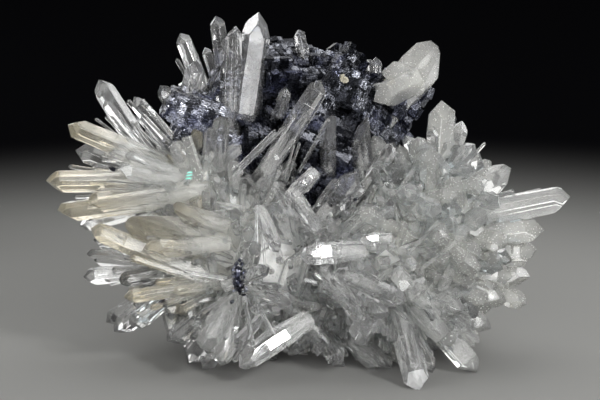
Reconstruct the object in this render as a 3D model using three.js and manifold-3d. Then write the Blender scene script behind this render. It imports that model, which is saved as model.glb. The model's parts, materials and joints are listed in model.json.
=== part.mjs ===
// Galena with quartz: a dark mass of stepped lead-grey galena, overgrown by sprays of clear to milky quartz points.
// Millimetres, +Z up, and the display side faces -Y. The origin is the middle of the footprint, at the base.
import * as THREE from "three";
import { mergeVertices } from "three/addons/utils/BufferGeometryUtils.js";
import Module from "manifold-3d";

const wasm = await Module();
wasm.setup();

// The display frame: x across, y away from the viewer, z up the display side, which leans back by LEAN.
const LEAN = THREE.MathUtils.degToRad(12);
const REST_HEIGHT = -5.8; // how far the display frame's zero sinks, so the lowest points are cut flat at the base
const FOOTPRINT_MIDDLE = [-0.1, 16.73]; // the middle of the footprint, which becomes the origin

const GALENA_GAP = 0.35; // clearance between a quartz face and the galena that it grew on
const RHOMB_ANGLE = THREE.MathUtils.degToRad(51.8); // from the long axis of a quartz point to the normal of a tip face
const TIP_SHARE = 0.86; // width of a point under its tip, against its width at the root
const ROOT_PULL = 0.12; // how far along its ray each point of a spray starts
const GOLDEN_ANGLE = Math.PI * (3 - Math.sqrt(5));
const SYMMETRY_TURN = 60; // degrees of turn after which a six-sided point looks the same again
const WELD = 1e-4; // corners closer than this are one
const SLIVER = 0.3; // facets narrower than this, left where points cross, are merged away

// Where the repeatable scatter starts for each kind of piece, and how far apart its numbers are.
const SEEDS = { spray: 10, firstFan: 100, fan: 20, cubeEdge: 7, cubeAxis: 3, cubeReach: 5, grain: 3 };

// Sprays: each point has its tip, its width across the flats, and a root of its own where it misses the centre.
const SPRAYS = {
  left: {
    centre: [-26, -4, 51],
    points: [
      { tip: [-53.5, 4, 77.5], width: 6.6, root: [-36, 2, 50] },
      { tip: [-44.5, -4, 73], width: 5.1, root: [-27, 0, 53] },
      { tip: [-60.5, -7, 65.8], width: 6.8, root: [-32, -5, 54] },
      { tip: [-59.2, 3, 60], width: 6.5, root: [-36, 2, 51] },
      { tip: [-65.8, -9, 51.5], width: 6.9, root: [-26, -6, 52] },
      { tip: [-63, -12, 43.6], width: 7.3, root: [-25, -8, 49] },
      { tip: [-57.8, 0, 40.4], width: 4.7, root: [-38, 0, 46] },
      { tip: [-49.8, -15, 59.2], width: 5 },
      { tip: [-47, -19, 54.5], width: 5.2 },
      { tip: [-50, 8, 68], width: 4, root: [-34, 6, 52] },
    ],
  },
  fan: {
    centre: [-16.8, -9, 26],
    points: [
      { tip: [-54.3, -15, 40], width: 5.9, root: [-18, -11, 25] },
      { tip: [-44.6, -21, 39], width: 12, root: [-17, -8, 38] },
      { tip: [-45.8, -18, 22.8], width: 4.5, root: [-18, -11, 27] },
      { tip: [-35.5, -8, 10.8], width: 5.9 },
      { tip: [-30.5, 0, 5.4], width: 5.9 },
      { tip: [-26.5, -6, 4.2], width: 5.4 },
      { tip: [-21.8, -15, 5.6], width: 5.9 },
      { tip: [-18, -16, 4.5], width: 7.1, root: [0, -9, 16.5] },
      { tip: [-26.5, -23, 10.5], width: 6.4 },
      { tip: [-13.5, -25, 37], width: 5 },
      { tip: [-4, -24, 21.5], width: 5.7 },
    ],
  },
  leftFoot: {
    centre: [-28, 4, 30],
    points: [
      { tip: [-54.8, 4, 36.8], width: 5.2 },
      { tip: [-56.6, 2, 32.8], width: 5.9 },
      { tip: [-57, 0, 27.6], width: 5.4 },
      { tip: [-51.6, 5, 16], width: 4.7 },
      { tip: [-49.2, 0, 13.4], width: 6.6 },
      { tip: [-44.8, -5, 15], width: 5.9 },
      { tip: [-47.5, -9, 27], width: 4.7 },
    ],
  },
  underside: {
    centre: [4, 2, 19],
    points: [
      { tip: [-4.8, -6, 9], width: 5 },
      { tip: [2.4, -8, 7.6], width: 4.7 },
      { tip: [9, -4, 4.9], width: 5, root: [0, -6, 16] },
      { tip: [17.5, -8, 4.8], width: 5.9 },
      { tip: [20.8, -5, 4.6], width: 5.4 },
    ],
  },
  rightFoot: {
    centre: [22, -7, 26],
    points: [
      { tip: [19.4, -23, 18.6], width: 6.4, root: [4, -13, 26] },
      { tip: [27, -26, 0], width: 6.8, root: [21.5, -11, 23] },
      { tip: [42, -9, 3.8], width: 7.1, root: [22, -9, 27] },
      { tip: [31, -16, 4.2], width: 5, root: [24, -9, 17] },
      { tip: [45.8, -4, 14.4], width: 6.6, root: [30, -3, 23] },
      { tip: [42.4, -9, 10.6], width: 5.4, root: [28, -6, 22] },
      { tip: [33, -24, 13], width: 6.4 },
      { tip: [10.4, -23, 12], width: 6.5 },
      { tip: [38, -20, 19.5], width: 6.5 },
      { tip: [27, -28, 24], width: 5.9 },
    ],
  },
  right: {
    centre: [30, -2, 41],
    points: [
      { tip: [65.6, -6, 47.8], width: 8, root: [31, -4, 41] },
      { tip: [59, -9, 40], width: 7.1, root: [33, -5, 36] },
      { tip: [57.4, -5, 34.4], width: 8.4, root: [32, -4, 33] },
      { tip: [56, -4, 27], width: 8, root: [30, -3, 31] },
      { tip: [49.4, -7, 21.2], width: 6.7, root: [29, -5, 30] },
      { tip: [33.8, 0, 72.6], width: 7.8, root: [31.5, 0, 45] },
      { tip: [39, 6, 67.2], width: 5.4, root: [32, 3, 48] },
      { tip: [52, 1, 54.4], width: 8.2, root: [33, 0, 46] },
      { tip: [43.4, 5, 59], width: 6.4, root: [33, 2, 46] },
      { tip: [43.4, -20, 44.4], width: 5.2, root: [35, -7, 36] },
      { tip: [49, -18, 36], width: 6.5 },
      { tip: [41, -23, 29], width: 6.7 },
      { tip: [30, -22, 46], width: 6.6 },
      { tip: [17.8, -13, 56], width: 5.9 },
      { tip: [23.2, -19, 50.6], width: 5.9 },
      { tip: [29, -12, 62], width: 5.4 },
    ],
  },
  front: {
    centre: [7, -5, 38],
    points: [
      { tip: [12.4, -17, 54], width: 6.8, root: [2, -10, 42] },
      { tip: [20.8, -20, 35.2], width: 6.7, root: [6, -10, 36] },
      { tip: [-1, -21, 34.6], width: 6.6 },
      { tip: [-9.8, -15, 46.4], width: 5.4, root: [-3, -8, 36] },
      { tip: [17.6, -17, 45.6], width: 6.2 },
      { tip: [16, -25, 27.6], width: 6 },
      { tip: [8, -25, 25.6], width: 6.8 },
      { tip: [-19, -18, 45], width: 5.2, root: [-12, -8, 34] },
      { tip: [4, -24, 40.5], width: 5.7 },
      { tip: [3.8, -15, 76.8], width: 5.7, root: [-11, -9, 54] },
      { tip: [-8, -12, 61], width: 3.5, root: [-11, -8, 48] },
    ],
  },
};

// Fans of smaller points that finish the sides and the back: the points spread evenly round an axis.
const FANS = [
  { centre: [-20, 14, 40], axis: [-0.75, 0.62, 0.1], spread: 60, count: 7, length: [19, 29], width: [5.6, 8.4] },
  { centre: [26, 14, 38], axis: [0.75, 0.65, 0.05], spread: 60, count: 7, length: [19, 29], width: [5.6, 8.4] },
  { centre: [2, 18, 32], axis: [0, 0.98, -0.2], spread: 56, count: 7, length: [19, 27], width: [5.6, 8] },
  { centre: [-20, 10, 20], axis: [-0.45, 0.55, -0.7], spread: 42, count: 4, length: [16, 22], width: [5.4, 7] },
  { centre: [24, 10, 20], axis: [0.45, 0.55, -0.7], spread: 42, count: 4, length: [16, 22], width: [5.4, 7] },
];

// Massive quartz from which the sprays grow: lumps by centre and half extents.
const QUARTZ_LUMPS = [
  { centre: [-15, 1, 34], size: [26, 17, 22] },
  { centre: [20, 1, 34], size: [26, 17, 23] },
  { centre: [2, 10, 26], size: [30, 19, 20] },
  { centre: [0, 17, 18], size: [23, 15, 16] },
  { centre: [-29, -1, 50], size: [12, 10, 11] },
  { centre: [33, 0, 44], size: [12, 11, 14] },
];

// Galena lumps, each a group of parallel cubes: centre, radius and how the cubes of the lump are turned.
const GALENA_LUMPS = [
  { centre: [-26, 3, 66], radius: 10.5, turn: [10, 25, 5] },
  { centre: [-19, 9, 74], radius: 10, turn: [10, 25, 5] },
  { centre: [-7, 9, 77], radius: 12, turn: [35, 10, 20] },
  { centre: [6, 8, 75.5], radius: 10.2, turn: [-15, 30, 40] },
  { centre: [17, 5, 70], radius: 10.5, turn: [-15, 30, 40] },
  { centre: [-12, 2, 62], radius: 10, turn: [35, 10, 20] },
  { centre: [4, 0, 60], radius: 11.5, turn: [50, 15, -20] },
  { centre: [5, -1, 51], radius: 10.5, turn: [50, 15, -20] },
  { centre: [-10, 24, 67], radius: 13.5, turn: [5, 40, 15] },
  { centre: [9, 24, 66], radius: 13.5, turn: [25, -10, 50] },
  { centre: [0, 20, 52], radius: 13, turn: [5, 40, 15] },
];
const GALENA_HEARTS = [
  { centre: [-12, 10, 68], size: [20, 14, 15] },
  { centre: [8, 10, 66], size: [18, 15, 15] },
  { centre: [0, 20, 62], size: [18, 18, 18] },
];
const CUBES_PER_LUMP = 4;
const CORE_SHARE = 1.22; // edge of a lump's big cube, as a share of its radius
const CUBE_SHARE = [0.5, 0.95]; // edge of a stepped cube, as a share of the lump's radius
const CUBE_REACH = [0.5, 0.72]; // from the lump's middle to a stepped cube's, as a share of the radius
const SWELL = { size: 0.95, wide: 0.1, fine: 0.06 }; // how uneven a lump is, as shares of its half extents

// Points that stand on the galena by themselves. Each list is one piece: its points grew together.
const LONE_POINTS = {
  crest_pair: [
    { tip: [-11.8, -2, 94.6], width: 8.2, root: [-17.4, -1, 63], flat: 0.8, turn: 20 },
    { tip: [-19.2, -4, 91], width: 4.4, root: [-20.4, -2, 64], turn: 10 },
    { tip: [-20.6, -3, 82], width: 3.8, root: [-20.8, -1, 64], turn: 40 },
  ],
  point_left_tall: [{ tip: [-23.4, 4, 93.8], width: 4.9, root: [-20.4, 7, 72] }],
  point_left_outer: [{ tip: [-32.6, 5, 89.4], width: 4.8, root: [-25, 6, 70] }],
  point_left_stub: [{ tip: [-28, -1, 82.4], width: 5.8, root: [-31.5, 2, 68] }],
  point_left_low: [{ tip: [-37.6, 0, 76], width: 4.6, root: [-30, 1, 64] }],
  point_left_sliver: [{ tip: [-26.4, 10, 86], width: 3, root: [-22, 10, 72] }],
  point_summit: [{ tip: [-2.6, 6, 90.4], width: 3.6, root: [-1, 7, 80] }],
  block_right: [{ tip: [33, 0, 85.4], width: 10.8, root: [20, 4, 69.7], flat: 0.55, turn: 0 }],
  point_right_low: [{ tip: [15.8, -7, 71.4], width: 5, root: [24.5, -2, 72.4] }],
  point_right_stub: [{ tip: [17, 4, 83.4], width: 4, root: [16.6, 5, 73] }],
  point_right_small: [{ tip: [15.6, 11, 83], width: 3, root: [18, 9, 70] }],
  point_centre_small: [{ tip: [-5.4, -11, 75], width: 3.6, root: [-9, 0, 63] }],
  block_centre: [{ tip: [4.6, -14, 67.6], width: 6, root: [5, -6, 55.4], flat: 0.7, turn: 30 }],
  block_low: [{ tip: [12.4, -12, 67.4], width: 7.4, root: [13.6, -2, 56], flat: 0.75, turn: 30 }],
  point_front: [{ tip: [-21.8, -12, 68], width: 4.8, root: [-22.6, -5, 57] }],
  point_back_left: [{ tip: [-17, 37, 88], width: 5, root: [-9, 26, 68] }],
  point_back_right: [
    { tip: [16, 40, 84], width: 6, root: [9, 26, 64] },
    { tip: [21, 38, 78], width: 4.6, root: [12, 29, 64] },
  ],
  point_back_middle: [{ tip: [2, 44, 76], width: 4.6, root: [1, 28, 62] }],
};

// Cream carbonate grains that sit in hollows of the galena.
const CARBONATE_GRAINS = {
  carbonate_grain_middle: { centre: [8.8, -4.6, 77.4], size: [1.1, 0.9, 1.6] },
  carbonate_grain_right: { centre: [20, -3.6, 76.4], size: [1.2, 1, 1.1] },
};

const toBase = new THREE.Matrix4()
  .makeTranslation(-FOOTPRINT_MIDDLE[0], -FOOTPRINT_MIDDLE[1], REST_HEIGHT)
  .multiply(new THREE.Matrix4().makeRotationX(-LEAN));

/** Repeatable scatter between 0 and 1 for a whole number. */
const scatter = (n) => {
  const wave = Math.sin(n * 12.9898) * 43758.5453;
  return wave - Math.floor(wave);
};
const between = ([low, high], share) => low + (high - low) * share;

/** A point of the display frame as a vector of the part's own frame. */
const stand = (point) => new THREE.Vector3(...point).applyMatrix4(toBase);

function toSolid(geometry) {
  geometry.deleteAttribute("normal");
  geometry.deleteAttribute("uv");
  const merged = mergeVertices(geometry, WELD);
  return new wasm.Manifold(
    new wasm.Mesh({
      numProp: 3,
      vertProperties: new Float32Array(merged.attributes.position.array),
      triVerts: new Uint32Array(merged.index.array),
    }),
  );
}

function toGeometry(solid) {
  const mesh = solid.getMesh();
  const geometry = new THREE.BufferGeometry();
  geometry.setAttribute("position", new THREE.BufferAttribute(mesh.vertProperties, 3));
  geometry.setIndex(new THREE.BufferAttribute(mesh.triVerts, 1));
  return geometry.toNonIndexed();
}

const joined = (solids) => wasm.Manifold.union(solids);

/** The largest of a solid's bodies: crumbs and the skins of sealed hollows are left behind. */
function largestBody(solid) {
  return solid.decompose().reduce((best, other) => (other.volume() > best.volume() ? other : best));
}

/** A solid as one sound body with no sliver facets. Merging slivers can pinch off a crumb, so it picks twice. */
const tidied = (solid) => largestBody(largestBody(solid).simplify(SLIVER));

/**
 * A quartz point: a tapering six-sided prism closed by the six rhombohedron faces of its tip.
 * flat squeezes it one way, and turn rotates it about its own long axis, in degrees.
 */
function quartzPoint({ root, tip, width, flat = 0.88, turn = 0 }) {
  const foot = stand(root);
  const ray = stand(tip).sub(foot);
  const length = ray.length();
  const corner = width / 2 / Math.cos(Math.PI / 6);
  const prism = new THREE.CylinderGeometry(corner * TIP_SHARE, corner, length, 6, 1);
  prism.translate(0, length / 2, 0);
  let solid = toSolid(prism);
  for (let face = 0; face < 6; face++) {
    const around = Math.PI / 6 + (face * Math.PI) / 3;
    const side = Math.sin(RHOMB_ANGLE);
    const inward = [-side * Math.sin(around), -Math.cos(RHOMB_ANGLE), -side * Math.cos(around)];
    solid = solid.trimByPlane(inward, -Math.cos(RHOMB_ANGLE) * length);
  }
  const place = new THREE.Matrix4().compose(
    foot,
    new THREE.Quaternion().setFromUnitVectors(new THREE.Vector3(0, 1, 0), ray.normalize()),
    new THREE.Vector3(1, 1, 1),
  );
  place.multiply(new THREE.Matrix4().makeRotationY(THREE.MathUtils.degToRad(turn)));
  place.multiply(new THREE.Matrix4().makeScale(1, 1, flat));
  return solid.transform(place.elements);
}

/** The points of a spray: each starts near the spray's centre unless it has a root of its own. */
function sprayPoints({ centre, points }, seed) {
  return points.map((point, index) => {
    const root = point.root ?? centre.map((value, axis) => value + ROOT_PULL * (point.tip[axis] - value));
    return quartzPoint({ ...point, root, turn: SYMMETRY_TURN * scatter(seed + index) });
  });
}

/** A fan of points spread evenly, by the golden angle, over a cap round the fan's axis. */
function fanPoints({ centre, axis, spread, count, length, width }, seed) {
  const middle = new THREE.Vector3(...axis).normalize();
  const sideways = new THREE.Vector3(0, 0, 1).cross(middle).normalize();
  const upward = middle.clone().cross(sideways);
  const points = [];
  for (let index = 0; index < count; index++) {
    const tilt = THREE.MathUtils.degToRad(spread) * Math.sqrt((index + 0.5) / count);
    const around = index * GOLDEN_ANGLE + seed;
    const ray = middle.clone().multiplyScalar(Math.cos(tilt));
    ray.addScaledVector(sideways, Math.sin(tilt) * Math.cos(around));
    ray.addScaledVector(upward, Math.sin(tilt) * Math.sin(around));
    const reach = between(length, scatter(seed + index));
    const tip = centre.map((value, k) => value + ray.getComponent(k) * reach);
    points.push({ tip, width: between(width, scatter(seed + index + 0.5)) });
  }
  return sprayPoints({ centre, points }, seed);
}

/** A faceted lump in place in the display frame, its surface a little uneven. */
function lump({ centre, size }, seed) {
  const rock = new THREE.IcosahedronGeometry(1, 0);
  const place = rock.attributes.position;
  for (let index = 0; index < place.count; index++) {
    const [x, y, z] = [place.getX(index), place.getY(index), place.getZ(index)];
    const wide = SWELL.wide * Math.sin(5 * x + seed) * Math.cos(4 * y - seed);
    const swell = SWELL.size + wide + SWELL.fine * Math.sin(6 * z + 2 * seed);
    place.setXYZ(index, x * swell * size[0], y * swell * size[1], z * swell * size[2]);
  }
  rock.translate(...centre);
  rock.applyMatrix4(toBase);
  return toSolid(rock);
}

/** One galena lump: a big cube with smaller cubes stepping off it, all parallel. grow thickens every face. */
function galenaLump({ centre, radius, turn }, seed, grow) {
  const angles = turn.map((value) => THREE.MathUtils.degToRad(value));
  const lattice = new THREE.Matrix4().makeRotationFromEuler(new THREE.Euler(...angles));
  lattice.setPosition(...centre);
  lattice.premultiply(toBase);
  const cube = (edge, x, y, z) => {
    const box = new THREE.BoxGeometry(edge[0] + 2 * grow, edge[1] + 2 * grow, edge[2] + 2 * grow);
    box.translate(x, y, z);
    box.applyMatrix4(lattice);
    return toSolid(box);
  };
  const core = radius * CORE_SHARE;
  const cubes = [cube([core, core, core], 0, 0, 0)];
  for (let index = 0; index < CUBES_PER_LUMP; index++) {
    const height = 1 - (2 * (index + 0.5)) / CUBES_PER_LUMP;
    const ring = Math.sqrt(1 - height * height);
    const around = index * GOLDEN_ANGLE + seed;
    const start = seed * SEEDS.cubeEdge + index * SEEDS.cubeAxis;
    const edge = [0, 1, 2].map((axis) => radius * between(CUBE_SHARE, scatter(start + axis)));
    const reach = radius * between(CUBE_REACH, scatter(seed + index * SEEDS.cubeReach));
    cubes.push(cube(edge, reach * ring * Math.cos(around), reach * ring * Math.sin(around), reach * height));
  }
  return cubes;
}

/** The whole galena: the stepped lumps on solid hearts, so that no hollow is sealed between the cubes. */
function galenaMass(grow) {
  const hearts = GALENA_HEARTS.map((place, index) => lump(place, index + 1));
  const stepped = GALENA_LUMPS.flatMap((place, index) => galenaLump(place, index + 1, grow));
  return joined([...hearts, ...stepped]);
}

const FINISHES = {
  galena: { color: 0x50535e, roughness: 0.38, metalness: 0.9 },
  quartz: { color: 0xdcdedb, roughness: 0.12, metalness: 0 },
  carbonate: { color: 0xd9cfa6, roughness: 0.6, metalness: 0 },
};

function piece(name, solid, finish) {
  const mesh = new THREE.Mesh(toGeometry(solid), new THREE.MeshStandardMaterial(FINISHES[finish]));
  mesh.name = name;
  return mesh;
}

const cutAtBase = (solid) => solid.trimByPlane([0, 0, 1], 0);

const galena = tidied(galenaMass(0));
const galenaRoom = galenaMass(GALENA_GAP);

const clusterSolids = [
  ...Object.values(SPRAYS).flatMap((spray, index) => sprayPoints(spray, SEEDS.spray * (index + 1))),
  ...FANS.flatMap((fan, index) => fanPoints(fan, SEEDS.firstFan + SEEDS.fan * index)),
  ...QUARTZ_LUMPS.map((place, index) => lump(place, index + 1)),
];
const lonePointsRoom = joined(
  Object.values(LONE_POINTS).flatMap((points) =>
    points.map((point) => quartzPoint({ ...point, width: point.width + 2 * GALENA_GAP })),
  ),
);
const cluster = tidied(cutAtBase(joined(clusterSolids)).subtract(galenaRoom).subtract(lonePointsRoom));

const specimen = new THREE.Group();
specimen.name = "galena_with_quartz";
specimen.add(piece("galena", galena, "galena"));
specimen.add(piece("quartz_cluster", cluster, "quartz"));
for (const [name, points] of Object.entries(LONE_POINTS)) {
  const solid = joined(points.map(quartzPoint)).subtract(galenaRoom);
  specimen.add(piece("quartz_" + name, tidied(solid), "quartz"));
}
for (const [name, place] of Object.entries(CARBONATE_GRAINS)) {
  specimen.add(piece(name, tidied(lump(place, SEEDS.grain).subtract(galenaRoom)), "carbonate"));
}

export default specimen;
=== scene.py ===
"""Galena overgrown by quartz: a dark stepped mass under sprays of clear, milky and iron-stained points.

The specimen stands on a pale floor and is seen from its display side. Working lengths are millimetres, in the
display frame (x across, y away from the viewer, z up the leaning display side) or in the part's own frame,
and every mesh ends in metres.
"""

from __future__ import annotations

import json
import logging
import math
from dataclasses import dataclass
from enum import Enum

import bpy
import numpy as np
from mathutils import Matrix, Vector

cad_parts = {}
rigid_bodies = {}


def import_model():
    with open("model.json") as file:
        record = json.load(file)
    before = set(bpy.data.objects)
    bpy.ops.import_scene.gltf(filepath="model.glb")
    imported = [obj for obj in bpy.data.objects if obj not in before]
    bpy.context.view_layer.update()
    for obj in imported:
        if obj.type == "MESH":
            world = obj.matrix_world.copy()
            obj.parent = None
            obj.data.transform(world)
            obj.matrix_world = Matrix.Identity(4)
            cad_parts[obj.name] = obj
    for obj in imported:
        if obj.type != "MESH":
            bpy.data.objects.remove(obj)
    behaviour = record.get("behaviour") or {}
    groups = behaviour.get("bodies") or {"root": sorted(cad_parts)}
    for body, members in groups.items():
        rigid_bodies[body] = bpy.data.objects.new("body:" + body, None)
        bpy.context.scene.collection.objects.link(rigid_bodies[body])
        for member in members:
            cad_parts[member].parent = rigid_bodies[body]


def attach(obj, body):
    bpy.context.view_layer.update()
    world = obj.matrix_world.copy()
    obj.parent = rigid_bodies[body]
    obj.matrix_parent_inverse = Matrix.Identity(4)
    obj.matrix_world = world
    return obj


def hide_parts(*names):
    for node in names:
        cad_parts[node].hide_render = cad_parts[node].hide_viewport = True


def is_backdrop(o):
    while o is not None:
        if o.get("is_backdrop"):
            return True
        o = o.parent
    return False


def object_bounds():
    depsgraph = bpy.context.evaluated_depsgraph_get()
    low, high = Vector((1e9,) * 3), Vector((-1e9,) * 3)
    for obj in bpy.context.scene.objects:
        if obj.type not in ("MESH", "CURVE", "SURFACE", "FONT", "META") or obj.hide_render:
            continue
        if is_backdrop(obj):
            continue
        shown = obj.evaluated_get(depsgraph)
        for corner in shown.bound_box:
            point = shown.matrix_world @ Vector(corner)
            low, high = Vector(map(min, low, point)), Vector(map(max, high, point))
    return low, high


LOG = logging.getLogger("specimen")
MM = 0.001
TRIM_THRESHOLD_M = 1e-6
GOLDEN_ANGLE = math.pi * (3 - math.sqrt(5))
Point3 = tuple[float, float, float]
Range = tuple[float, float]
Model = tuple[np.ndarray, list[tuple[int, ...]]]
Socket = bpy.types.NodeSocket


def linear(hex_code: str) -> tuple[float, float, float, float]:
    """Turns an sRGB hex colour into the linear colour that the shaders take.

    Args:
        hex_code: six hex digits, red first.

    Returns:
        Linear red, green, blue and an alpha of 1.
    """
    shares = [int(hex_code[at : at + 2], 16) / 255 for at in (0, 2, 4)]
    return tuple(s / 12.92 if s <= 0.04045 else ((s + 0.055) / 1.055) ** 2.4 for s in shares) + (1.0,)


def add_node(
    tree: bpy.types.NodeTree, kind: str, values: dict | None = None, **settings: object
) -> bpy.types.Node:
    """Adds one node with its settings, socket values and links.

    Args:
        tree: the node tree that takes the node.
        kind: Blender's name for the node's type.
        values: socket name or number, and the value or the output socket that feeds it.
        settings: attributes of the node itself.

    Returns:
        The new node.
    """
    node = tree.nodes.new(kind)
    for name, value in settings.items():
        setattr(node, name, value)
    for name, value in (values or {}).items():
        if isinstance(value, bpy.types.NodeSocket):
            tree.links.new(value, node.inputs[name])
        else:
            node.inputs[name].default_value = value
    return node


def scatter(number: float) -> float:
    """Repeatable scatter between 0 and 1 for a number."""
    wave = math.sin(number * 12.9898) * 43758.5453
    return wave - math.floor(wave)


def between(low_high: Range, share: float) -> float:
    """The value at a share of the way from low to high."""
    return low_high[0] + (low_high[1] - low_high[0]) * share


def in_ratio(low_high: Range, share: float) -> float:
    """The value at a share of the way from low to high, in even ratios."""
    return low_high[0] * (low_high[1] / low_high[0]) ** share


def carried(corners: np.ndarray, matrix: Matrix) -> np.ndarray:
    """Corners carried by a matrix."""
    return corners @ np.array(matrix.to_3x3()).T + np.array(matrix.translation)


@dataclass(frozen=True)
class Stand:
    """How the display frame leans back on the shelf, in degrees and millimetres."""

    lean_deg: float = 12.0
    rest_height: float = -5.8
    footprint_middle: Range = (-0.1, 16.73)

    def matrix(self) -> Matrix:
        """The matrix from the display frame to the part's own frame, both in millimetres."""
        middle_x, middle_y = self.footprint_middle
        move = Matrix.Translation((-middle_x, -middle_y, self.rest_height))
        return move @ Matrix.Rotation(-math.radians(self.lean_deg), 4, "X")


STAND = Stand()
TO_BASE = STAND.matrix()


def stand(point: Point3) -> np.ndarray:
    """A point of the display frame in the part's own frame, in millimetres."""
    return np.array(TO_BASE @ Vector(point))


class Clarity(Enum):
    """How clear a quartz point is."""

    CLEAR = "clear"
    HAZY = "hazy"
    MILKY = "milky"
    STAINED = "stained"


class Paint:
    """A material under way, and the kinds of node that the finishes are put together from."""

    def __init__(self, name: str) -> None:
        """Starts with an empty node tree."""
        self.made = bpy.data.materials.new(name)
        self.made.use_nodes = True
        self.tree = self.made.node_tree
        self.tree.nodes.clear()

    def attribute(self, name: str, output: str) -> Socket:
        """What the meshes say under a name."""
        return add_node(self.tree, "ShaderNodeAttribute", attribute_name=name).outputs[output]

    def stretch(self, place: Socket, scale: Point3) -> Socket:
        """A place stretched along its axes."""
        return add_node(self.tree, "ShaderNodeMapping", {"Vector": place, "Scale": scale}).outputs[0]

    def noise(self, place: Socket, scale: float, detail: float = 2.0) -> Socket:
        """Noise over a place."""
        values = {"Vector": place, "Scale": scale, "Detail": detail}
        return add_node(self.tree, "ShaderNodeTexNoise", values).outputs[0]

    def ramp(self, value: Socket, source: Range, goal: Range = (0.0, 1.0), **settings: object) -> Socket:
        """A value carried from one range to another."""
        values = {"Value": value, "From Min": source[0], "From Max": source[1], "To Min": goal[0], "To Max": goal[1]}
        return add_node(self.tree, "ShaderNodeMapRange", values, **settings).outputs[0]

    def blend(self, share: Socket, first: object, second: object) -> Socket:
        """The colour at a share of the way from the first to the second."""
        values = {0: share, 6: first, 7: second}
        return add_node(self.tree, "ShaderNodeMix", values, data_type="RGBA").outputs[2]

    def reckon(self, operation: str, first: Socket, second: Socket | float) -> Socket:
        """Two values put together."""
        return add_node(self.tree, "ShaderNodeMath", {0: first, 1: second}, operation=operation).outputs[0]

    def relief(self, height: Socket, depth_mm: float) -> Socket:
        """A fine relief in the shading."""
        values = {"Height": height, "Distance": depth_mm * MM}
        return add_node(self.tree, "ShaderNodeBump", values).outputs[0]

    def close(self, values: dict, volume: Socket | None = None) -> bpy.types.Material:
        """Ends the material with a principled surface and, inside a clear thing, a volume."""
        ends = {"Surface": add_node(self.tree, "ShaderNodeBsdfPrincipled", values).outputs[0]}
        if volume is not None:
            ends["Volume"] = volume
        add_node(self.tree, "ShaderNodeOutputMaterial", ends)
        return self.made


@dataclass(frozen=True)
class RockCrystal:
    """Natural quartz: glassy growth faces under fine frost, with cross striations and lengthwise growth ribs.

    The relief breaks the crystal's highlights into threads along its length.
    """

    name: str
    tint: str
    transmission: float
    roughness: float
    stain: str = ""
    striation_mm: float = 0.6
    rib_mm: float = 2.0
    pit_mm: float = 0.4
    relief_mm: float = 0.003
    glow_mm: float = 4.0
    unevenness: float = 0.3
    striation_stretch: Point3 = (0.15, 1.0, 0.15)
    rib_stretch: Point3 = (1.0, 0.07, 1.0)
    frost_range: Range = (0.35, 0.65)
    stain_range: Range = (0.45, 0.95)
    absorption_tint: str = "e2e6e8"
    absorption_per_m: float = 5.0
    ior: float = 1.544

    def material(self) -> bpy.types.Material:
        """Builds the finish over plain clear values."""
        paint = Paint(self.name)
        own = paint.attribute("own", "Vector")
        bands = paint.noise(paint.stretch(own, self.striation_stretch), 1 / self.striation_mm, 2.0)
        ribs = paint.noise(paint.stretch(own, self.rib_stretch), 1 / self.rib_mm, 3.0)
        frost = paint.noise(own, 1 / self.pit_mm, 3.0)
        height = paint.reckon("ADD", paint.reckon("ADD", bands, ribs), frost)
        dullness = (self.roughness * (1 - self.unevenness), self.roughness * (1 + self.unevenness))
        colour = linear(self.tint)
        if self.stain:
            rust = paint.ramp(paint.attribute("along", "Fac"), self.stain_range)
            colour = paint.blend(rust, colour, linear(self.stain))
        dimming = add_node(
            paint.tree,
            "ShaderNodeVolumeAbsorption",
            {"Color": linear(self.absorption_tint), "Density": self.absorption_per_m},
        )
        values = {
            "Base Color": colour,
            "Roughness": paint.ramp(frost, self.frost_range, dullness),
            "IOR": self.ior,
            "Transmission Weight": self.transmission,
            "Subsurface Weight": 1.0,
            "Subsurface Radius": (1.0, 1.0, 1.0),
            "Subsurface Scale": self.glow_mm * MM,
            "Normal": paint.relief(height, self.relief_mm),
        }
        return paint.close(values, dimming.outputs[0])


@dataclass(frozen=True)
class Haze:
    """Milky quartz inside a clear point: soft, white specks of fluid, which thin out towards the tip."""

    name: str
    tint: str
    opacity: float
    roughness: float = 0.9
    ior: float = 1.1
    wisp_mm: float = 2.4
    wisp_range: Range = (0.4, 0.65)
    wisp_shares: Range = (0.55, 1.3)
    thin_range: Range = (0.35, 1.0)
    thin_share: float = 0.15

    def material(self) -> bpy.types.Material:
        """Builds the cloud's finish, whose wisps follow the point and thin out along it."""
        paint = Paint(self.name)
        wisps = paint.noise(paint.attribute("own", "Vector"), 1 / self.wisp_mm, 4.0)
        low, high = self.wisp_shares
        veil = paint.ramp(wisps, self.wisp_range, (low * self.opacity, high * self.opacity))
        thinning = paint.ramp(paint.attribute("along", "Fac"), self.thin_range, (1.0, self.thin_share))
        cover = paint.reckon("MULTIPLY", veil, thinning)
        return paint.close(
            {"Base Color": linear(self.tint), "Roughness": self.roughness, "Alpha": cover, "IOR": self.ior}
        )


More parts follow.
